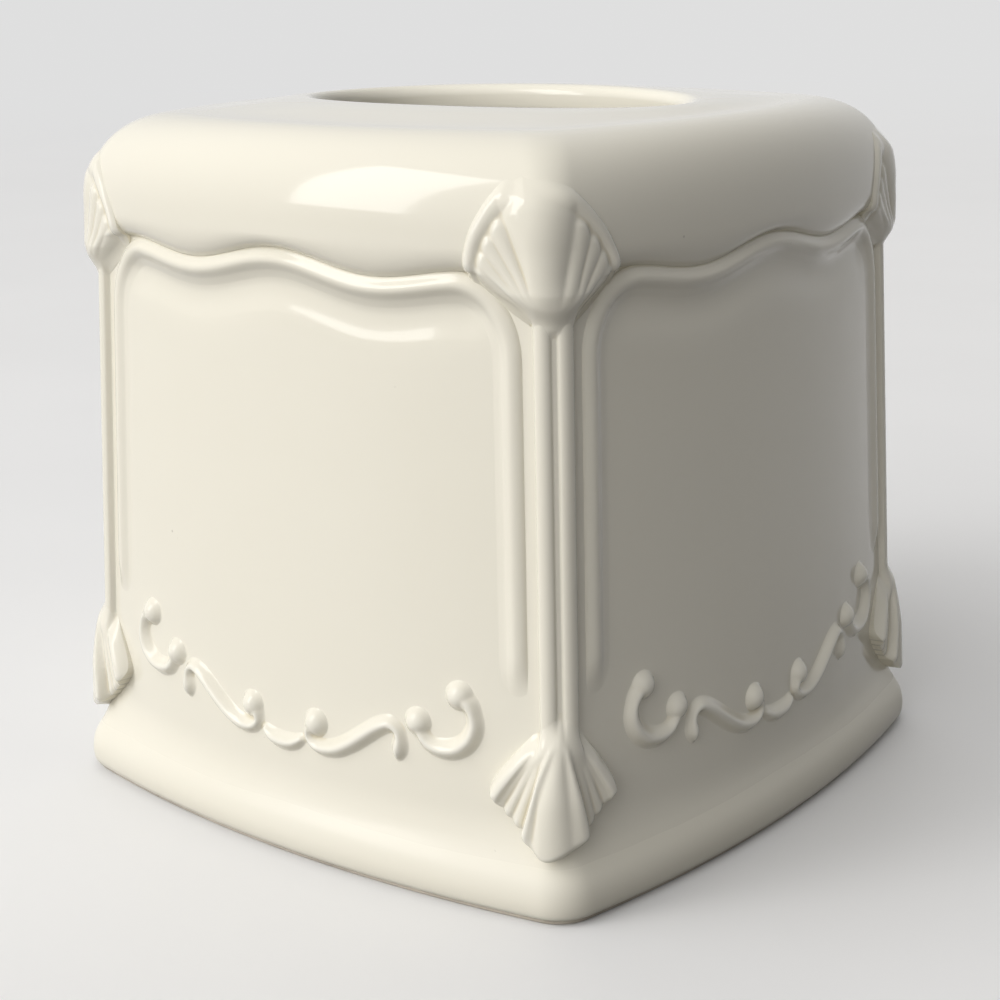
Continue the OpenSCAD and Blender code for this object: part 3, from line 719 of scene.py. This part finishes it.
def moulding_path(b):
    """Crest of the frame over one face: up the left side, along the wavy bead and down the right side"""
    edge = b.corner_u(b.hem_h) - b.frame_in
    turn_u = edge - b.turn_w
    turn_z = b.bead_z(turn_u) - b.turn_h
    foot_z = b.low_hinge + 2
    side = [[b.corner_u(z) - b.frame_in, z] for z in np.arange(foot_z, turn_z, 1.5)]
    shift = b.corner_u(turn_z) - b.frame_in - edge
    turn = [[turn_u + (b.turn_w + shift * (1 - math.sin(a))) * math.cos(a), turn_z + b.turn_h * math.sin(a)]
            for a in np.linspace(0, QUARTER, 28)]
    half = np.arange(turn_u, 0.2, -0.8)
    top = [[u, b.bead_z(u)] for u in half[1:]] + [[0, b.bead_z(0)]]
    right = side + turn + top
    left = [[-u, z] for u, z in right[-2::-1]]
    line = spaced(right + left, 0.75)
    line[:, 0] = (line[:, 0] - line[::-1, 0]) / 2
    line[:, 1] = (line[:, 1] + line[::-1, 1]) / 2
    return line[::-1], turn_u, foot_z


def moulding_height(b, q, along, u, z):
    """Height over the plain wall at q millimetres outward from the crest, soft on the inner side"""
    proud = b.frame_proud + (b.bead_proud - b.frame_proud) * along
    floor = -b.scoop_depth(u, z) - 0.03
    # Outward, the frame's sides fall off in a round and the bead keeps a shelf up to the hem
    out = np.clip(q, 0, None)
    flank = proud * np.clip(1 - (out / b.frame_out) ** 2, 0, 1) ** 0.8
    flank = flank - 0.04 * smooth(out, b.frame_out - 0.5, b.frame_out)
    shelf = proud - (proud - 0.8) * smooth(out, 0.2, 2) - 0.5 * smooth(out, 1.9, 2.5)
    # Inward, a crown as high as the crest stands on a long soft slope
    inside = np.clip(-q, 0, None)
    slope = (1 - smooth(inside / (b.frame_slope - 0.3 * along), 0, 1)) ** 1.25
    crown = np.clip(1 - (inside / 2.3) ** 2, 0, 1) ** 2
    return np.where(q >= 0, flank * (1 - along) + shelf * along,
                    floor + (proud - floor) * (0.5 * slope + 0.5 * crown))


def reed_height(b, s):
    """Profile of the two reeds and of the groove between them"""
    half = b.arris_gap / 2 + b.reed_w
    # Across one reed, from -1 at the groove to 1 at its outer side
    t = (np.abs(s) - b.arris_gap / 2 - b.reed_w / 2) / (b.reed_w / 2)
    lobe = np.sqrt(np.clip(1 - (0.86 * t) ** 2, 0, 1)) * (1 - smooth(np.abs(t), 0.75, 1.3))
    between = 0.45 * (1 - smooth(np.abs(s), 0.5, 1.2))
    return b.reed_proud * soft_max(lobe, between, 0.06) - 0.15 * smooth(np.abs(s), half - 0.3, half + 0.5)


class COVER_OT_mouldings(Operator):
    """Makes the wavy beads, the frames' sides and the corner reeds"""
    bl_idname = "tissue_cover.mouldings"
    bl_label = "Beads, frames and reeds"

    def execute(self, context):
        b = Body()
        line, turn_u, foot_z = moulding_path(b)
        way = np.gradient(line, axis=0)
        side = unit(np.stack([-way[:, 1], way[:, 0]], -1))
        # 1 along the bead and 0 down the frame's sides
        along = 1 - smooth(np.abs(line[:, :1]), turn_u - 1, turn_u + 8)
        # Places across the moulding as shares of its inner and outer width, closer together at its crest
        q = np.concatenate([np.linspace(-1, -0.45, 9), np.linspace(-0.41, 0, 9), np.linspace(0.1, 1, 10)])
        q = q[::-1]
        q = np.where(q < 0, q * b.frame_slope, q * (b.frame_out + 0.3 * along))
        u = line[:, :1] + side[:, :1] * q
        z = line[:, 1:] + side[:, 1:] * q
        height = moulding_height(b, q, along, u, z)
        # The feet of the frame's sides sink into the wall
        fade = smooth(line[:, 1:], foot_z, foot_z + 9)
        height = height * fade - 0.06 * (1 - fade)
        front = b.on_face(u, z, height)
        back = b.on_face(u, z, np.minimum(height, 0) - SUNK)
        top = np.where(np.abs(line[:, 0]) <= turn_u)[0]
        first, last = top[0], top[-1]
        runs = {"wave_bead": [(first, last)], "panel_frame": [(0, first), (last, len(line) - 1)]}
        glaze_all_round(FACES, {kind: partial(relief, [(front[i:j + 1], back[i:j + 1]) for i, j in ends])
                                for kind, ends in runs.items()})
        half = b.arris_gap / 2 + b.reed_w + 0.5
        s, z = np.meshgrid(np.linspace(-half, half, 61), np.linspace(b.low_hinge - 5, b.high_hinge + 4, 40))
        front, back = b.on_corner(s, z, reed_height(b, s)), b.on_corner(s, z, -SUNK)
        glaze_all_round(CORNERS, {"corner_reeds": partial(relief, [(front, back)])})
        return {"FINISHED"}


def bump_at(x, middle, half, power=0.8):
    """Round-backed profile, 1 at its middle and 0 half a width away"""
    return np.clip(1 - ((x - middle) / half) ** 2, 0, 1) ** power


def patch(u, z, gap, step):
    """Cuts a grid of places to where gap is below zero: drawn places, kept ones, quads and rim edges"""
    slope_z, slope_u = np.gradient(gap, step)
    size = np.hypot(slope_u, slope_z) + 1e-6
    inside = gap < 0
    cells = inside[:-1, :-1] | inside[1:, :-1] | inside[:-1, 1:] | inside[1:, 1:]
    past = np.clip(np.clip(gap, 0, None) / size, 0, 1.5 * step)
    u, z = u - past * slope_u / size, z - past * slope_z / size
    quads = grid_faces(*gap.shape)[cells.ravel()]
    used = np.unique(quads)
    place = np.full(gap.size, -1)
    place[used] = np.arange(len(used))
    quads = place[quads]
    edges = np.concatenate([quads[:, [k, (k + 1) % 4]] for k in range(4)])
    known = set(map(tuple, edges.tolist()))
    rim = np.array([e for e in edges.tolist() if (e[1], e[0]) not in known])
    return u.ravel()[used], z.ravel()[used], used, quads, rim


def thick_patch(front, back, quads, rim, name, quarter):
    """Closed solid from the front and the back points of a cut grid"""
    n = len(front)
    walls = np.stack([rim[:, 1], rim[:, 0], rim[:, 0] + n, rim[:, 1] + n], -1)
    faces = quads.tolist() + (quads[:, ::-1] + n).tolist() + walls.tolist()
    return make_mesh(name, turned(np.vstack([front, back]), quarter), faces, sharp=np.vstack([rim, rim + n]))


# Half angle between the sides of a shell, and how far it leans for each millimetre from its hinge
UPPER_V, LOWER_V = math.radians(56), math.radians(40.4)
UPPER_LEAN, LOWER_LEAN = 0.135, 0.07
# How far the upper shells' point lies under their hinge
UPPER_DROP = 2.6
# Lengths and height for which the shells' relief is drawn
UPPER_DRAWN_LEN, UPPER_DRAWN_H, LOWER_DRAWN_LEN = 29, 1.5, 27
# Reach of the upper shells at angles from their middle line
REACH_ANGLES, REACHES = (0, 6, 13, 27, 42, 51, 63), (28, 27.3, 25.6, 22.8, 20.2, 18.8, 17)
# Angle and strength of each rib, and half the angle that one takes up
UPPER_RIBS, UPPER_RIB_HALF = ((20.5, 1), (30.9, 0.9), (41.3, 0.75), (51.5, 0.6)), 5.3
LOWER_RIBS, LOWER_RIB_HALF = (17.5, 24, 30.5), 3.5
# Half the width of the lower shells, and how they grow to their height of 4.9 mm down from the hinge
LOWER_HALF_W = 14.4
GROWTH_RUNS, GROWTH = (0, 3.5, 6, 8.5, 10.5, 13.5, 16, 27), (2.0, 2.9, 3.6, 3.95, 4.25, 4.6, 4.85, 4.9)


def reeds_below(b, s):
    """Height of the reeds where a shell's edge meets them"""
    a = np.abs(s)
    return (reed_height(b, s) - 0.04) * (a < b.arris_gap / 2 + b.reed_w + 0.4) - 0.05 * smooth(a, 3.4, 4.1)


def upper_shell(b, s, z):
    """Gap to the outline, lift over the surface and share of the bridge from the reeds to the top cover"""
    y = z - b.high_hinge
    a = np.abs(s - UPPER_LEAN * np.clip(y, 0, None))
    run, angle = np.hypot(a, y), np.degrees(np.arctan2(a, y))
    reach = curve(angle, REACH_ANGLES, REACHES) * b.high_len / UPPER_DRAWN_LEN
    # Distance beyond the straight sides, which meet in a softened point under the hinge
    out = np.hypot(a, 0.8) * math.cos(UPPER_V) - (y + UPPER_DROP) * math.sin(UPPER_V)
    gap = soft_max(run - reach, out, 1.2)
    # A fan of ribs that end in a groove, and a raised rim round them
    t = run / reach
    ribs = sum(k * bump_at(angle, m, UPPER_RIB_HALF) for m, k in UPPER_RIBS)
    tip = smooth(t, 0.79 - 0.045 * (1 - ribs), 0.865 - 0.045 * (1 - ribs))
    fan = (0.42 + 0.45 * ribs) * (1 - tip) + 0.2 * tip
    rim = 0.85 * bump_at(t, 0.925, 0.085, 1.0)
    fan = soft_max(fan, rim, 0.08) - 0.15 * smooth(t, 0.96, 1)
    # A round middle lobe between the two halves of the fan, and a plain knob at the hinge
    top = 1 - smooth(t, 0.76, 0.99)
    middle = (0.3 + 1.2 * bump_at(angle, 0, 14.5, 0.85)) * top + 0.8 * rim * smooth(angle, 3, 13)
    lobes = middle - 0.1 * smooth(t, 0.93, 1) + (fan - middle) * smooth(angle, 12.3, 15.6)
    lift = b.high_proud / UPPER_DRAWN_H * (1.3 + (lobes - 1.3) * smooth(run, 3, 12))
    # The sides run softly into the reeds, and roll down in a round beside them
    soft = smooth(a, 2.6, 6.5)
    edge = smooth(-out, 0, 2) * (1 - soft) + (0.6 * dome(-out / 3.2) + 0.4 * smooth(-out, 0, 5)) * soft
    return gap, lift * edge + reeds_below(b, s) * (1 - edge), smooth(-out, -0.3, 5)


def lower_shell(b, s, z):
    """The same for the shells that hang over the foot, which need no bridge"""
    y = b.low_hinge - z
    a = np.abs(s - LOWER_LEAN * np.clip(y, 0, None))
    run, angle = np.hypot(a, y), np.degrees(np.arctan2(a, y))
    ribs = np.clip(sum(bump_at(angle, m, LOWER_RIB_HALF, 1.0) for m in LOWER_RIBS), 0, 1)
    out = soft_max((a - 2) * math.cos(LOWER_V) - y * math.sin(LOWER_V), a - LOWER_HALF_W, 2.2)
    # The lower edge slants up from a blunt tip and is notched between the ribs
    side = smooth(angle, 11.3, 14.4)
    scallops = 0.4 * side * (1 - ribs) * (1 - smooth(angle, 33, 36))
    low = (y + 0.92 * a - 27.6 * b.low_len / LOWER_DRAWN_LEN) / 1.36 + scallops
    gap = soft_max(soft_max(low, y - b.low_len, 1.4), out, 1.8)
    # A high middle lobe with a ridge down each side, a lower ribbed fan, and an arm along the fan's edge
    full = curve(y, GROWTH_RUNS, GROWTH) * b.low_proud / GROWTH[-1]
    middle = 0.87 + 0.13 * bump_at(angle, 0, 6, 1.0) + 0.09 * np.exp(-((angle - 10) / 2.3) ** 2)
    depth = smooth(run, 8, 20)
    fan = 0.62 - 0.2 * depth + 0.12 * depth * ribs
    arm = (0.66 + 0.1 * smooth(run, 6, 18)) * bump_at(-out, 2.6, 3.1, 0.7) * smooth(angle, 24, 34)
    fan = soft_max(fan, arm, 0.08)
    lobes = middle + (fan - middle) * side
    lift = full * (0.95 + (lobes - 0.95) * smooth(run, 3, 11))
    soft = smooth(run, 5, 12)
    edge = smooth(-out, 0, 4.5) * (1 - soft) + dome(-out / 2) * soft
    lift = lift * edge + reeds_below(b, s) * (1 - edge)
    return gap, lift * (0.55 + 0.45 * dome(-np.maximum(low, y - b.low_len) / 1.6)), 0


def over_corner(b, s, z, lift, bridge):
    """Point near the corner between +X and +Y over the walls and the top cover"""
    low = np.minimum(z, b.swell_h)
    share = b.wall_share(low)
    # Angle of the normal here on the walls, and at the same place of the top's rounder plan
    turn = b.corner_turn(s, low)
    reach_top = bow_angle(b.top_half - b.top_corner_r, b.top_bow)
    over = turn > b.reach
    part = np.where(over, (turn - b.reach) / (QUARTER - 2 * b.reach), turn / b.reach)
    top_angle = np.where(over, reach_top + (QUARTER - 2 * reach_top) * part, reach_top * part)
    hem = b.hem_z(b.big * np.sin(np.minimum(turn, b.reach)) * b.wall_share(b.hem_h))
    # Swell of the cover's edge, to which the bridge leads over from the reeds
    f = np.clip((z - hem) / (b.swell_h - hem), 0, 1)
    out = b.swell_out * np.sqrt(1 - (1 - f) ** 2)
    lead = (z - b.high_hinge + 2.5) / 9
    out = out + (np.maximum(b.swell_out * (smooth(lead, 0, 1) + np.clip(lead, 0, 1)) / 2, out) - out) * bridge
    # Lean of the normal over the shoulder
    tilt = np.arcsin(np.clip((z - b.swell_h) / (b.shoulder_h - b.swell_h), 0, 1))
    fx, fy = face_plan(turn, b.half_side * share, b.face_bow * share, b.corner_r * share, out)
    hx, hy = face_plan(top_angle, b.top_half, b.top_bow, b.top_corner_r, 0)
    f = (1 - np.cos(tilt)) ** SHOULDER_POWER
    x = fx + (hx - fx) * f + lift * np.cos(tilt) * np.cos(turn)
    y = fy + (hy - fy) * f + lift * np.cos(tilt) * np.sin(turn)
    return np.stack([np.where(s >= 0, x, y), np.where(s >= 0, y, x), z + lift * np.sin(tilt)], -1)


class COVER_OT_shells(Operator):
    """Makes the ribbed shells at the corners, over the top cover's hem and over the foot"""
    bl_idname = "tissue_cover.shells"
    bl_label = "Corner shells"

    def execute(self, context):
        b = Body()
        step, half_w = 0.28, 19
        across = np.arange(-half_w, half_w + step, step)
        kinds = {"upper_shell": (upper_shell, b.high_hinge - 5, b.high_hinge + b.high_len + 1),
                 "lower_shell": (lower_shell, b.low_hinge - b.low_len - 1, b.low_hinge + 4)}
        for kind, (field, bottom, top) in kinds.items():
            s, z = np.meshgrid(across, np.arange(bottom, top, step))
            s, z, _, quads, rim = patch(s, z, field(b, s, z)[0], step)
            _, lift, bridge = field(b, s, z)
            front, back = over_corner(b, s, z, lift, bridge), over_corner(b, s, z, -SUNK, 0)
            glaze_all_round(CORNERS, {kind: partial(thick_patch, front, back, quads[:, ::-1], rim[:, ::-1])})
        return {"FINISHED"}


# Strokes and balls of half a garland: place across and up as shares of its half width and rise, and breadth
ARC = [[-0.107, 0.043, 0.5], [-0.062, -0.016, 0.85], [0, -0.038, 1], [0.062, -0.016, 0.85],
       [0.107, 0.043, 0.5]]
S_SCROLL = [[0.635, 0.13, 0.35], [0.639, 0.232, 0.95], [0.643, 0.357, 0.7], [0.625, 0.449, 0.7],
            [0.586, 0.481, 0.85], [0.526, 0.411, 1], [0.454, 0.281, 1.05], [0.381, 0.151, 1.05],
            [0.309, 0.054, 1], [0.237, 0.016, 0.9], [0.184, 0.038, 0.75], [0.153, 0.114, 0.6],
            [0.159, 0.2, 0.8]]
C_SCROLL = [[0.926, 0.941, 0.8], [0.967, 0.881, 1], [0.992, 0.768, 0.85], [0.998, 0.627, 0.95],
            [0.973, 0.476, 1.05], [0.92, 0.362, 1.1], [0.852, 0.324, 1.05], [0.79, 0.357, 0.9],
            [0.753, 0.449, 0.8], [0.73, 0.573, 0.6]]
BALLS = [[0.192, 0.281, 1.5], [0.926, 0.941, 1.5], [0.73, 0.573, 1.47]]
# Powers of the two profiles, of which a lower one is fuller, and the balls' height in strokes' heights
STROKE_FULL, BALL_FULL, BALL_SHARE = 1.3, 0.75, 1.15


def rounded(points, pieces=26):
    """Smooth curve through points, with a number of pieces from each to the next"""
    p = np.asarray(points, float)
    q = np.vstack([2 * p[0] - p[1], p, 2 * p[-1] - p[-2]])
    out = []
    for i in range(1, len(q) - 2):
        t = np.linspace(0, 1, pieces, endpoint=False)[:, None]
        a, b, c, d = q[i - 1:i + 3]
        out.append(0.5 * (2 * b + (c - a) * t + (2 * a - 5 * b + 4 * c - d) * t ** 2
                          + (3 * b - a - 3 * c + d) * t ** 3))
    return np.vstack(out + [p[-1:]])


def garland_strokes(b):
    """Circles along the strokes and balls of one garland: place, half width, height and fullness"""
    scale = np.array([b.garland_half, b.garland_rise, b.stroke_w / 2])
    circles = []
    for side in (-1, 1):
        for shares in ([ARC] if side == 1 else []) + [S_SCROLL, C_SCROLL]:
            line = rounded(np.array(shares) * scale)
            line[:, 0] *= side
            height = b.stroke_proud * (0.5 + 0.5 * line[:, 2] / scale[2])
            circles.append(np.column_stack([line, height, np.full(len(line), STROKE_FULL)]))
        balls = np.array(BALLS) * scale
        balls[:, 0] *= side
        rounds = np.full((len(balls), 2), (b.stroke_proud * BALL_SHARE, BALL_FULL))
        circles.append(np.column_stack([balls, rounds]))
    circles = np.vstack(circles)
    circles[:, 1] += b.garland_h
    return circles


class COVER_OT_garlands(Operator):
    """Makes the scroll garland over the foot of each face"""
    bl_idname = "tissue_cover.garlands"
    bl_label = "Garlands"

    def execute(self, context):
        b = Body()
        # Grid step, the glaze's fillet round each stroke and how far a circle is felt past its own rim
        step, fillet, beyond = 0.3, 0.85, 1.5
        u, z = np.meshgrid(np.arange(-b.garland_half - 4, b.garland_half + 4, step),
                           np.arange(b.garland_h - 4, b.garland_h + b.garland_rise + 5, step))
        gap, rise = np.full(u.shape, 9.0), np.zeros(u.shape)
        for cu, cz, r, h, full in garland_strokes(b):
            near = (np.abs(u - cu) < r + beyond) & (np.abs(z - cz) < r + beyond)
            d = np.hypot(u[near] - cu, z[near] - cz)
            gap[near] = np.minimum(gap[near], d - r)
            rise[near] = np.maximum(rise[near], h * bump_at(d, 0, 1.2 * r, full))
        # The glaze softens the strokes
        for _ in range(4):
            beside = rise[:-2, 1:-1] + rise[2:, 1:-1] + rise[1:-1, :-2] + rise[1:-1, 2:]
            rise[1:-1, 1:-1] = (rise[1:-1, 1:-1] * 4 + beside) / 8
        u, z, used, quads, rim = patch(u, z, gap - fillet, step)
        lift = (rise - 0.09 * smooth(gap, 0.3, fillet)).ravel()[used]
        front, back = b.on_face(u, z, lift), b.on_face(u, z, -SUNK)
        glaze_all_round(FACES, {"garland": partial(thick_patch, front, back, quads, rim)})
        return {"FINISHED"}


# Half the floor's side in metres
FLOOR_HALF = 40
# Distances in metres from the cover between which the floor's shading turns into the backdrop's colour
FLOOR_FADE = 0.5, 2.4
DAYLIGHT = 1.0, 0.99, 0.98
# Ways to the soft light by the window and behind the cover
WINDOW_SIDE, BACK_SIDE = (-0.3, -0.9, 0.34), (-0.58, 0.76, 0.3)
LAMP_PLACE, LAMP_TARGET, LAMP_SIZE = (-0.74, -1.25, 0.85), (0, 0, 0.08), (0.52, 1.2)
LAMP_COLOUR = 1.0, 0.99, 0.97
# Place of the camera in metres, and its turn in degrees from looking level along +Y
CAMERA_PLACE = 0.2709, -0.3401, 0.1794
CAMERA_YAW, CAMERA_PITCH, CAMERA_ROLL = 38.61, 15.54, -0.98
SENSOR_W, FAR_CLIP = 36, 120


def pale_floor(look):
    """Pale floor that keeps the cover's shadow and runs out into the backdrop's colour"""
    s = Shader(bpy.data.materials.new("studio_floor"))
    seen = s.seen()
    away = s.node("VectorMath", {"operation": "LENGTH"}, {0: s.place()}, output=1).ramp(*FLOOR_FADE)
    colour = s.mix(s.noise(6.0, 3.0).ramp(0.3, 0.7), tuple(look.floor), tuple(0.98 * c for c in look.floor))
    near = s.node("BsdfPrincipled", {}, {"Base Color": s.mix(seen, tuple(look.bounce), colour),
                                         "Roughness": 0.6})
    far = s.node("Emission", {}, {"Color": tuple(look.far)})
    mixed = s.node("MixShader", {}, {0: seen * away, 1: near, 2: far})
    s.node("OutputMaterial", {}, {"Surface": mixed})
    mesh = bpy.data.meshes.new("floor")
    corners = [(x * FLOOR_HALF, y * FLOOR_HALF, 0) for x, y in ((-1, -1), (1, -1), (1, 1), (-1, 1))]
    mesh.from_pydata(corners, [], [(0, 1, 2, 3)])
    mesh.materials.append(s.owner)
    floor = bpy.data.objects.new("floor", mesh)
    bpy.context.scene.collection.objects.link(floor)


def studio_light(scene, look):
    """Soft light from above, from the window's side and from behind, before a plain pale backdrop"""
    if scene.world is None:
        scene.world = bpy.data.worlds.new("studio")
    s = Shader(scene.world)
    way = s.node("TexCoord")
    light = s.node("SeparateXYZ", {}, {0: way}, output=2).math("MAXIMUM", 0.0) * look.sky + look.fill
    for side, strength in ((WINDOW_SIDE, look.side), (BACK_SIDE, look.back)):
        toward = s.node("VectorMath", {"operation": "DOT_PRODUCT"},
                        {0: way, 1: Vector(side).normalized()}, output=1)
        light = light + toward.ramp(0.4, 1.0) * strength
    lit = s.node("Background", {}, {"Color": DAYLIGHT, "Strength": light})
    pale = s.node("Background", {}, {"Color": tuple(look.far)})
    mixed = s.node("MixShader", {}, {0: s.seen(), 1: lit, 2: pale})
    s.node("OutputWorld", {}, {"Surface": mixed})


def window_lamp(scene, power):
    """Tall lamp that leaves a window's highlight in the glaze"""
    data = bpy.data.lights.new("window", "AREA")
    data.shape, data.energy, data.color = "RECTANGLE", power, LAMP_COLOUR
    data.size, data.size_y = LAMP_SIZE
    lamp = bpy.data.objects.new("window", data)
    lamp.location = LAMP_PLACE
    lamp.rotation_euler = (Vector(LAMP_TARGET) - Vector(LAMP_PLACE)).to_track_quat("-Z", "Y").to_euler()
    scene.collection.objects.link(lamp)


def place_camera(scene, lens):
    yaw, pitch, roll = (math.radians(a) for a in (CAMERA_YAW, CAMERA_PITCH, CAMERA_ROLL))
    ahead = Vector((-math.sin(yaw) * math.cos(pitch), math.cos(yaw) * math.cos(pitch), -math.sin(pitch)))
    level_right = ahead.cross(Vector((0, 0, 1))).normalized()
    level_up = level_right.cross(ahead)
    right = math.cos(roll) * level_right + math.sin(roll) * level_up
    upward = math.cos(roll) * level_up - math.sin(roll) * level_right
    data = bpy.data.cameras.new("camera")
    data.lens, data.sensor_width, data.clip_end = lens, SENSOR_W, FAR_CLIP
    camera = bpy.data.objects.new("camera", data)
    turn = Matrix((right, upward, -ahead)).transposed().to_4x4()
    camera.matrix_world = Matrix.Translation(CAMERA_PLACE) @ turn
    scene.collection.objects.link(camera)
    scene.camera = camera


class COVER_OT_stage(Operator):
    """Sets the floor, the light and the camera"""
    bl_idname = "tissue_cover.stage"
    bl_label = "Stage"

    def execute(self, context):
        scene, look = context.scene, context.scene.stage_look
        pale_floor(look)
        studio_light(scene, look)
        window_lamp(scene, look.key)
        place_camera(scene, look.lens)
        scene.view_settings.view_transform = "Standard"
        return {"FINISHED"}


PIECES = (COVER_OT_stage, COVER_OT_foot, COVER_OT_walls, COVER_OT_top, COVER_OT_mouldings, COVER_OT_shells,
          COVER_OT_garlands)
SETTINGS = {"cover_sizes": CoverSizes, "relief_sizes": ReliefSizes, "glaze_look": GlazeLook,
            "stage_look": StageLook}


class COVER_PT_panel(Panel):
    """Lists the pieces and their settings"""
    bl_idname = "COVER_PT_panel"
    bl_label = "Tissue box cover"
    bl_space_type = "VIEW_3D"
    bl_region_type = "UI"
    bl_category = "Tissue cover"

    def draw(self, context):
        for piece in PIECES:
            self.layout.operator(piece.bl_idname)
        for name, group in SETTINGS.items():
            box = self.layout.box()
            for key in group.__annotations__:
                box.prop(getattr(context.scene, name), key)


def register():
    for cls in (*SETTINGS.values(), *PIECES, COVER_PT_panel):
        bpy.utils.register_class(cls)
    for name, cls in SETTINGS.items():
        setattr(bpy.types.Scene, name, PointerProperty(type=cls))


def unregister():
    for name in SETTINGS:
        delattr(bpy.types.Scene, name)
    for cls in reversed((*SETTINGS.values(), *PIECES, COVER_PT_panel)):
        bpy.utils.unregister_class(cls)


def main():
    register()
    for piece in PIECES:
        group, name = piece.bl_idname.split(".")
        getattr(getattr(bpy.ops, group), name)()


if __name__ == "__main__":
    main()
